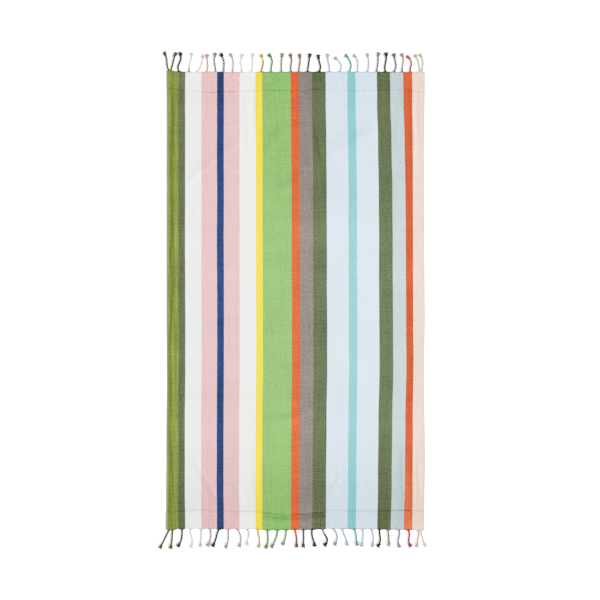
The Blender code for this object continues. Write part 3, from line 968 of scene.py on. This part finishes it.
def painted_bar_rows():
    """The painted bars of light and shade as rows of a ramp, where 0.5 leaves the tone as it is."""
    rows = [(0.0, 0.5)]
    for painted_bar in PAINTED_BARS:
        for side, share in ((-1, 0.0), (0, 1.0), (1, 0.0)):
            place = 0.5 + (painted_bar.y + side * painted_bar.half_width) * MM / CLOTH_LENGTH
            rows.append((place, 0.5 + share * painted_bar.tone / BAR_RANGE))
    return rows + [(1.0, 0.5)]


def ramp_rows(rows, column, size, whole=1.0, middle=0.0):
    """A table's column as rows of a ramp over a size, in shares of a whole that are added to a middle."""
    return [(0.5 + row[0] * MM / size, middle + getattr(row, column) / whole) for row in rows]


class WeaveNodes(Nodes):
    """The nodes of the cloth, with its places and its noises."""

    def __init__(self, name, roughness):
        super().__init__(name, roughness)
        place = self.add("ShaderNodeUVMap", uv_map="weave").outputs[0]
        self.across, self.along = self.parts(place)
        self.past_line, self.from_end = self.parts(self.add("ShaderNodeUVMap", uv_map="ends").outputs[0])
        self.up = self.times_plus(self.along, 1.0 / CLOTH_LENGTH, 0.5)
        self.at_top = self.math("GREATER_THAN", self.along, 0.0)
        warp_y = self.times_plus(self.across, WARP_SKEW, self.along)
        weft_x = self.times_plus(self.along, WEFT_SKEW, self.across)
        warp_way = self.add("ShaderNodeCombineXYZ", self.across, warp_y).outputs[0]
        weft_way = self.add("ShaderNodeCombineXYZ", weft_x, self.along).outputs[0]
        ways = {"even": place, "warp": warp_way, "weft": weft_way}
        self.noises = {}
        for row in NOISES:
            frequency = (row.across, row.along, 0.0)
            self.noises[row.name] = self.unevenness(ways[row.way], frequency, row.detail, row.shift)


def stripe_color(n):
    """The stripes' colour, and how strongly the painted shade deepens it towards the nearer end."""
    place = n.times_plus(n.noises["edge wobble"], EDGE_WOBBLE, n.across)
    place = n.times_plus(n.noises["edge sway"], EDGE_SWAY, place)
    color = (*linear(STRIPES[0].color), 1.0)
    to_top = STRIPES[0].top
    to_bottom = STRIPES[0].bottom
    for stripe, following in zip(STRIPES, STRIPES[1:]):
        beyond = n.math("GREATER_THAN", place, stripe.right * MM)
        color = n.mixed(beyond, color, (*linear(following.color), 1.0))
        to_top = n.times_plus(beyond, following.top - stripe.top, to_top)
        to_bottom = n.times_plus(beyond, following.bottom - stripe.bottom, to_bottom)
    return color, n.between(n.at_top, to_bottom, to_top)


def end_shade_and_hem_density(n):
    """Painted shade towards the ends, set as how dense the cloth looks, with a step past the fine lines.
    """
    ends = n.ramp(n.up, ramp_rows(END_SHADE_COURSE, "density", CLOTH_LENGTH))
    past_line = n.times_plus(n.past_line, 1.0 / (2.0 * HEM_HALF_WIDTH), 0.5, clamp=True)
    return n.times_plus(past_line, HEM_DENSITY, ends)


def pucker_shade_density(n):
    """Painted shade of the pucker past the lower fine line, set as a denser weave in patches."""
    inside = n.math("SUBTRACT", PUCKER_SHADE_HALF_WIDTH, n.apart(n.across, PUCKER_SHADE_PLACE))
    inside = n.times(inside, 1.0 / PUCKER_SHADE_FADE, clamp=True)
    inside = n.times(inside, n.math("LESS_THAN", n.along, 0.0))
    band = n.near(n.apart(n.past_line, PUCKER_SHADE_DEPTH / 2), PUCKER_SHADE_DEPTH / 2)
    patches = n.times_plus(n.noises["gather patches"], PUCKER_SHADE_PATCHES, 1.0)
    return n.times(n.times(n.times(band, patches), inside), PUCKER_SHADE_DENSITY)


def left_streaks_and_fold_shade(n):
    """Near the left edge the warp is streaked, and a wandering band of painted fold shade deepens it."""
    middle = HALF_WIDTH / MM / LEFT_FOLD_SHADE_RANGE
    fold_shade_place = n.ramp(n.up, ramp_rows(LEFT_FOLD_SHADE_COURSE, "x", CLOTH_LENGTH, LEFT_FOLD_SHADE_RANGE, middle))
    from_left = n.math("ADD", n.across, HALF_WIDTH)
    off_fold_shade = n.times_plus(fold_shade_place, -LEFT_FOLD_SHADE_RANGE * MM, from_left)
    off_fold_shade = n.times_plus(n.noises["band wander"], LEFT_FOLD_SHADE_WANDER, off_fold_shade)
    # The wandering band of painted fold shade
    band = n.near(n.math("ABSOLUTE", off_fold_shade), LEFT_FOLD_SHADE_HALF_WIDTH)
    streaks = n.times(n.noises["warp streak"], n.math("LESS_THAN", n.across, STREAKED_TO))
    return n.times_plus(streaks, -STREAK_DENSITY, n.times(band, LEFT_FOLD_SHADE))


def grain_tone(n, weave):
    """How much the yarns, the weave and the painted bars of light and shade lighten or darken the cloth.
    """
    # Painted light and shade in bars across the towel
    painted_bar = n.math("SUBTRACT", n.ramp(n.up, painted_bar_rows()), 0.5)
    tone = n.times_plus(painted_bar, BAR_STRENGTH, n.times(weave, WEAVE_TONE))
    for row in NOISES:
        if row.tone:
            tone = n.times_plus(n.noises[row.name], row.tone, tone)
    return tone


def line_tone(n, contrast):
    """The fine line across each end, its own dark and painted shade, and the darkening at the very end."""
    off_line = n.math("ABSOLUTE", n.times_plus(n.noises["edge wobble"], HEM_LINE_WOBBLE, n.past_line))
    share = n.times_plus(n.across, 1.0 / CLOTH_WIDTH, 0.5)
    ramps = []
    for column in ("bottom_dark", "top_dark"):
        rows = ramp_rows(HEM_COURSE, column, CLOTH_WIDTH, HEM_DARK_RANGE)
        ramps.append(n.ramp(share, rows))
    # The fine line's darkness: partly the line's own, partly painted shade along it
    line_dark_and_shade = n.times_plus(contrast, -HEM_LINE_DARKER, -HEM_LINE_DARK)
    line_dark_and_shade = n.times(line_dark_and_shade, n.between(n.at_top, *ramps))
    patches = n.times_plus(n.noises["line patches"], HEM_LINE_PATCHES * HEM_DARK_RANGE, HEM_DARK_RANGE)
    line_dark_and_shade = n.times(line_dark_and_shade, patches)
    # Darker along the very end of the cloth
    end_dark = n.times_plus(contrast, -END_DARKER, -END_DARK)
    end_dark = n.times(end_dark, n.near(n.from_end, END_DARK_REACH))
    return n.times_plus(n.near(off_line, HEM_LINE_HALF_WIDTH), line_dark_and_shade, end_dark)


def striped_cotton():
    """The cloth's material: lengthwise stripes in a flat weave, a little uneven in its yarns."""
    n = WeaveNodes("striped_cotton", CLOTH_ROUGHNESS)
    color, end_shade_depth = stripe_color(n)
    # The painted shade deepens the colour towards the ends, by as much as each stripe takes of it
    density = n.times_plus(end_shade_and_hem_density(n), end_shade_depth, 1.0)
    # Painted shade of the pucker past the lower fine line
    density = n.math("ADD", density, pucker_shade_density(n))
    # The left edge's streaks, and the painted shade of its fold
    density = n.math("ADD", density, left_streaks_and_fold_shade(n))
    color = n.add("ShaderNodeGamma", color, density).outputs[0]

    # Dark stripes show the pale weft between their warps, so their heathering is stronger
    brightness = n.add("ShaderNodeRGBToBW", color).outputs[0]
    contrast = n.math("POWER", n.times_plus(brightness, -CONTRAST_FALL, 1.0), CONTRAST_STEEPNESS)
    contrast = n.times(contrast, CONTRAST_OF_BLACK)
    warp_turn = n.math("SINE", n.times(n.across, FULL_TURN / WARP_PITCH))
    weft_turn = n.math("SINE", n.times(n.along, FULL_TURN / WEFT_PITCH))
    weave = n.times(warp_turn, weft_turn)
    tone = n.times(grain_tone(n, weave), contrast)
    tone = n.math("ADD", tone, line_tone(n, contrast))
    # Painted light and shade along the towel, for all the stripes alike
    painted_shade = n.ramp(n.up, ramp_rows(PAINTED_SHADE_COURSE, "percent", CLOTH_LENGTH, BAR_RANGE, 0.5))
    painted_shade = n.math("SUBTRACT", painted_shade, 0.5)
    tone = n.math("ADD", tone, n.times_plus(painted_shade, BAR_RANGE / 100.0, 1.0))
    color = n.scaled(color, tone)

    # The selvedges, where the warp is thinner and the pale weft turns back
    from_side = n.times_plus(n.math("ABSOLUTE", n.across), -1.0, HALF_WIDTH)
    selvedge = n.times(n.near(from_side, SELVEDGE), SELVEDGE_PALE)
    color = n.mixed(selvedge, color, (*linear(WEFT_COLOR), 1.0))
    relief = n.times_plus(weave, WEAVE_RELIEF, n.math("ADD", n.noises["warp"], n.noises["weft"]))
    return n.cover(AVERAGE_COLOR, color, relief, CLOTH_BUMP, CLOTH_BUMP_DEPTH)


def yarn_material(name):
    """Matte cotton yarn of one colour, with fine fibres."""
    n = Nodes("yarn_" + name.replace(" ", "_"), YARN_ROUGHNESS)
    place = n.add("ShaderNodeTexCoord").outputs["Object"]
    fibre = n.unevenness(place, (FIBRE_FREQUENCY,) * 3, detail=3.0, shift=2.0)
    patch = n.unevenness(place, (PATCH_FREQUENCY,) * 3, detail=2.0, shift=6.0)
    tone = n.times_plus(patch, PATCH_TONE, n.times(fibre, FIBRE_TONE))
    color = n.scaled(linear(YARNS[name]), n.math("ADD", tone, 1.0))
    return n.cover(YARNS[name], color, fibre, YARN_BUMP, YARN_BUMP_DEPTH)


def unit(way):
    """A way with a length of 1."""
    return way / np.linalg.norm(way)


def left_of(way):
    """The level way to the left of a way."""
    return np.array([-way[1], way[0], 0.0])


def reached(path):
    """How far along a path each of its points is."""
    steps = np.linalg.norm(np.diff(path, axis=0), axis=1)
    return np.concatenate([[0.0], np.cumsum(steps)])


def frames(path):
    """Two ways across a path at each of its points, which turn as little as can be."""
    tangents = np.gradient(path, axis=0)
    tangents /= np.linalg.norm(tangents, axis=1)[:, None]
    normal = np.cross(tangents[0], (0.0, 0.0, 1.0))
    if np.linalg.norm(normal) < LEAST_SLANT:
        normal = np.cross(tangents[0], (1.0, 0.0, 0.0))
    normals = []
    for tangent in tangents:
        normal = unit(normal - tangent * normal.dot(tangent))
        normals.append(normal)
    normals = np.array(normals)
    return normals, np.cross(tangents, normals)


class Yarns:
    """The round yarns of one fringe, gathered into one mesh with a material for each colour."""

    def __init__(self):
        self.corners = []
        self.faces = []
        self.colors = []
        self.count = 0
        self.names = list(YARNS)

    def add(self, path, radii, sides, color):
        """A round yarn along a path, closed at both ends."""
        normals, binormals = frames(path)
        turn = FULL_TURN * np.arange(sides) / sides
        ring = np.cos(turn)[None, :, None] * normals[:, None]
        ring = ring + np.sin(turn)[None, :, None] * binormals[:, None]
        corners = path[:, None] + ring * np.asarray(radii, float)[:, None, None]
        count = len(path)
        first = self.count
        self.corners.append(corners.reshape(-1, 3))
        side = np.arange(sides)
        start = first + sides * np.arange(count - 1)[:, None]
        low, low_next = start + side, start + (side + 1) % sides
        quads = np.stack([low, low_next, low_next + sides, low + sides], -1).reshape(-1, 4)
        self.faces += quads.tolist()
        self.faces.append([first + k for k in reversed(range(sides))])
        self.faces.append([first + (count - 1) * sides + k for k in range(sides)])
        self.colors += [self.names.index(color)] * (len(quads) + 2)
        self.count += count * sides

    def cord(self, path, ply_radius, coil_radius, sides, colors, phase, swell=1.0):
        """Two plies twisted round a path. Colors gives each ply's colour along the path's parts."""
        distance = reached(path)
        normals, binormals = frames(path)
        swell = swell * np.ones(len(path))
        for ply, parts in enumerate(colors):
            angle = FULL_TURN * (distance / TWIST_PITCH + ply / len(colors)) + phase
            coil = (coil_radius * swell)[:, None]
            line = path + coil * (np.cos(angle)[:, None] * normals + np.sin(angle)[:, None] * binormals)
            wave = distance / PLY_UNEVEN_LENGTH + PLY_UNEVEN_SHIFT * ply + phase
            uneven = 1.0 + PLY_UNEVEN * np.sin(wave)
            start = 0
            for color, share in parts:
                radii = ply_radius * YARN_THICKNESS.get(color, 1.0) * swell * uneven
                stop = min(len(path) - 1, max(start + 1, round(share * (len(path) - 1))))
                self.add(line[start:stop + 1], radii[start:stop + 1], sides, color)
                start = stop
                if start >= len(path) - 1:
                    break

    def finish(self, name):
        """One object of all the yarns."""
        made = object_from(name, np.concatenate(self.corners).tolist(), self.faces)
        used = sorted(set(self.colors))
        for color in used:
            made.data.materials.append(MATERIALS[self.names[color]])
        slots = [used.index(color) for color in self.colors]
        made.data.polygons.foreach_set("material_index", slots)
        return made


def strand_route(end, strand):
    """Fine points of a strand's middle in plan, from inside the cloth's end to the tip of its tuft."""
    root = strand.root * MM
    edge = float(end_y(end, root))
    route = [Vector((root, edge - end * STRAND_ROOT_DEPTH))]
    for k in range(PATH_SAMPLES + 1):
        share = k / PATH_SAMPLES
        x = strand.root + (strand.knot - strand.root) * share
        x += strand.bow * math.sin(math.pi * share) + strand.sway * math.sin(2.0 * math.pi * share)
        route.append(Vector((x * MM, edge + end * strand.reach * MM * share)))
    heading = (route[-1] - route[-2]).normalized() * TUFT_LENGTH
    lean = Vector((strand.lean * MM * TUFT_LEAN_SHARE, 0.0))
    route.append(route[-1] + (heading + lean).normalized() * TUFT_LENGTH)
    return np.array([tuple(point) for point in route])


def plies(strand):
    """A strand's first yarn, its second, and the second ply's yarn at the knot."""
    second = strand.second or strand.first
    return strand.first, second, strand.first if strand.share else second


def strand_axis(strand):
    """How high the middle of a strand lies, so that its plies just rest on the floor."""
    thickest = max(YARN_THICKNESS.get(color, 1.0) for color in plies(strand)[:2])
    return COIL_RADIUS + PLY_RADIUS * thickest * (1.0 + PLY_UNEVEN)


def along_route(route, distances):
    """Points at distances along a route."""
    return np.stack([np.interp(distances, reached(route), route[:, k]) for k in (0, 1)], -1)


def bezier(points, count):
    """Points along a smooth curve that its control points pull."""
    t = np.linspace(0.0, 1.0, count)[:, None]
    points = [np.asarray(p, float) for p in points]
    while len(points) > 1:
        points = [a * (1.0 - t) + b * t for a, b in zip(points, points[1:])]
    return points[0]


def stripe_yarn(x):
    """The warp yarn of the stripe at x, in metres."""
    for stripe in STRIPES:
        if x / MM < stripe.right:
            return stripe.yarn
    return STRIPES[-1].yarn


def weave_end(end, x):
    """Where the weave ends at x, with the rise at the roots."""
    return float(end_y(end, x) + end * scallop_rise(end, x))


def root_path(end, strand, x, lift):
    """A yarn's way from the cloth's end at x into a strand's root."""
    root = strand.root * MM
    edges = {"own": weave_end(end, x), "root": float(end_y(end, root)) + end * SCALLOP_DEPTHS[end]}
    start_y = edges["own"] + end * ROOT_WAY[0].out * MM
    past_line = np.array([[HEM_FROM_END]])
    top = float(cloth_height(np.array([[x]]), np.array([[start_y]]), past_line)[0, 0]) + CLOTH_THICKNESS
    controls = []
    for row in ROOT_WAY:
        place = root + (x - root) * row.aside
        edges["passed"] = weave_end(end, place)
        height = top * row.of_top + strand_axis(strand) * row.of_strand
        height += row.height * MM + lift * row.lifted
        controls.append((place, edges[row.edge] + end * row.out * MM, height))
    return bezier(controls, ROOT_YARN_POINTS)


def add_roots(yarns, end, k, chance):
    """The yarns that leave the cloth's end beside a strand and gather into its root."""
    strands = STRANDS[end]
    root = strands[k].root * MM
    low = (strands[k - 1].root * MM + root) / 2 if k else MM - HALF_WIDTH
    high = (root + strands[k + 1].root * MM) / 2 if k + 1 < len(strands) else HALF_WIDTH - MM
    count = max(FEWEST_ROOT_YARNS, round((high - low) / ROOT_YARN_SPACING))
    radii = ROOT_YARN_RADIUS * np.linspace(1.0, ROOT_YARN_TIP, ROOT_YARN_POINTS)
    for j in range(count):
        x = low + (high - low) * (j + 0.5) / count
        path = root_path(end, strands[k], x, chance.uniform(0.0, ROOT_LIFT))
        yarns.add(path, radii, ROOT_YARN_SIDES, stripe_yarn(x))


def add_knot(yarns, strand, middle, heading, phase):
    """The strand wrapped round itself. Middle is the knot's middle, and heading its way outward."""
    side = left_of(heading)
    up = np.array([0.0, 0.0, 1.0])
    length = FULL_TURN * WRAP_TURNS * WRAP_RADIUS
    count = round(length / WRAP_STEP)
    share = np.linspace(0.0, 1.0, count)
    angle = FULL_TURN * WRAP_TURNS * share + phase
    fullness = np.sin(math.pi * share) ** WRAP_ROUNDNESS
    radius = WRAP_RADIUS * (WRAP_START + (1.0 - WRAP_START) * fullness)
    place = (share - 0.5) * WRAP_SPREAD + WRAP_TILT * np.cos(angle - phase)
    path = middle + place[:, None] * heading
    path = path + (radius * np.cos(angle))[:, None] * side
    path = path + (radius * np.sin(angle) * WRAP_FLATNESS)[:, None] * up
    first, _, last = plies(strand)
    colors = [[(first, 1.0)], [(last, 1.0)]]
    yarns.cord(path, WRAP_PLY_RADIUS, WRAP_COIL_RADIUS, WRAP_SIDES, colors, phase)


def add_tuft(yarns, strand, start, heading, tip, chance):
    """The loose ends past the knot, which splay out and settle on the floor."""
    side = left_of(heading)
    way = unit(np.array([*(tip - start)[:2], 0.0]))
    aside = left_of(way)
    first, _, last = plies(strand)
    spread = chance.uniform(*TUFT_SPREADS)
    for j in range(TUFT_YARNS):
        fan = (j / (TUFT_YARNS - 1) - 0.5) * 2.0
        turn = fan * spread + chance.uniform(-TUFT_STRAY, TUFT_STRAY)
        reach = chance.uniform(*TUFT_REACHES)
        out = way * math.cos(turn) + aside * math.sin(turn)
        rise = chance.uniform(-TUFT_UNEVEN, TUFT_UNEVEN)
        root = start + side * fan * TUFT_HALF_WIDTH + np.array([0.0, 0.0, rise])
        end = root + out * reach
        end[2] = chance.uniform(*TUFT_TIP_HEIGHTS) + TUFT_RADIUS
        middle = root + out * reach * TUFT_BEND
        middle[2] = root[2] + TUFT_CREST
        path = bezier([root - heading * TUFT_INSIDE, middle, end], len(TUFT_TAPER))
        radii = TUFT_RADIUS * np.array(TUFT_TAPER)
        yarns.add(path, radii, TUFT_SIDES, first if j % 2 else last)


def add_strand(yarns, end, strand, chance):
    """A strand: its twisted plies, its knot and its tuft."""
    route = strand_route(end, strand)
    run = reached(route)[-1] - TUFT_LENGTH
    knot_middle = run - KNOT_LENGTH / 2
    distances = np.linspace(0.0, run, round(run / PLY_STEP))
    plan = along_route(route, distances)
    swell = STRAND_START + (1.0 - STRAND_START) * smooth(distances / STRAND_START_REACH)
    axis = strand_axis(strand)
    height = axis * swell
    height += (KNOT_AXIS - axis) * smooth((distances - knot_middle + KNOT_RISE) / KNOT_RISE)
    path = np.column_stack([plan, height])
    phase = chance.uniform(0.0, FULL_TURN)
    first, second, _ = plies(strand)
    colors = [[(first, 1.0)], [(second, strand.share or 1.0), (first, 1.0)]]
    yarns.cord(path, PLY_RADIUS, COIL_RADIUS, PLY_SIDES, colors, phase, swell)
    around = along_route(route, [knot_middle - KNOT_REACH, knot_middle, knot_middle + KNOT_REACH])
    heading = unit(np.array([*(around[2] - around[0]), 0.0]))
    middle = np.array([*around[1], KNOT_AXIS])
    add_knot(yarns, strand, middle, heading, phase)
    start = np.array([*along_route(route, [run])[0], KNOT_AXIS * TUFT_START])
    tip = np.array([*route[-1], 0.0])
    add_tuft(yarns, strand, start, heading, tip, chance)


def make_fringe(name, end):
    """A fringe: its gathered roots and its strands."""
    chance = random.Random(name)
    yarns = Yarns()
    for k, strand in enumerate(STRANDS[end]):
        add_roots(yarns, end, k, chance)
        add_strand(yarns, end, strand, chance)
    return yarns.finish(name)


def make_floor():
    """The plain pale floor."""
    half = FLOOR_SIDE / 2
    around = ((-half, -half), (half, -half), (half, half), (-half, half))
    corners = [(x, y, -FLOOR_DROP) for x, y in around]
    floor = object_from("floor", corners, [(0, 1, 2, 3)])
    n = Nodes("floor", 1.0, specular=0.0, sheen=0.0)
    n.set("Base Color", FLOOR_COLOR)
    n.set("Emission Color", WHITE)
    n.set("Emission Strength", FLOOR_GLOW)
    floor.data.materials.append(n.material)
    return floor


def make_lights():
    """An even pale sky, and one soft lamp from the right that brings out the folds."""
    world = bpy.data.worlds.new("sky")
    world.use_nodes = True
    background = world.node_tree.nodes["Background"]
    background.inputs["Color"].default_value = WHITE
    background.inputs["Strength"].default_value = SKY_STRENGTH
    bpy.context.scene.world = world
    lamp = bpy.data.lights.new("lamp", "SUN")
    lamp.energy = LAMP_STRENGTH
    lamp.angle = LAMP_WIDTH
    holder = bpy.data.objects.new("lamp", lamp)
    holder.rotation_euler = (0.0, math.pi / 2 - LAMP_ELEVATION, LAMP_AZIMUTH)
    bpy.context.scene.collection.objects.link(holder)


def make_camera():
    """A long lens straight above the towel."""
    data = bpy.data.cameras.new("camera")
    data.lens = LENS
    data.sensor_width = SENSOR
    camera = bpy.data.objects.new("camera", data)
    camera.location = (*IMAGE_MIDDLE, IMAGE_SIDE * PIXEL * LENS / SENSOR)
    bpy.context.scene.collection.objects.link(camera)
    bpy.context.scene.camera = camera


MATERIALS = {name: yarn_material(name) for name in YARNS}

cloth = make_cloth()
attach(cloth, "root")
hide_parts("cloth")

for node, fringe_end in (("fringe_top", 1), ("fringe_bottom", -1)):
    fringe = make_fringe("towel_" + node, fringe_end)
    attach(fringe, "root")
    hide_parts(node)

floor = make_floor()

make_lights()
make_camera()
bpy.context.scene.view_settings.view_transform = "Standard"
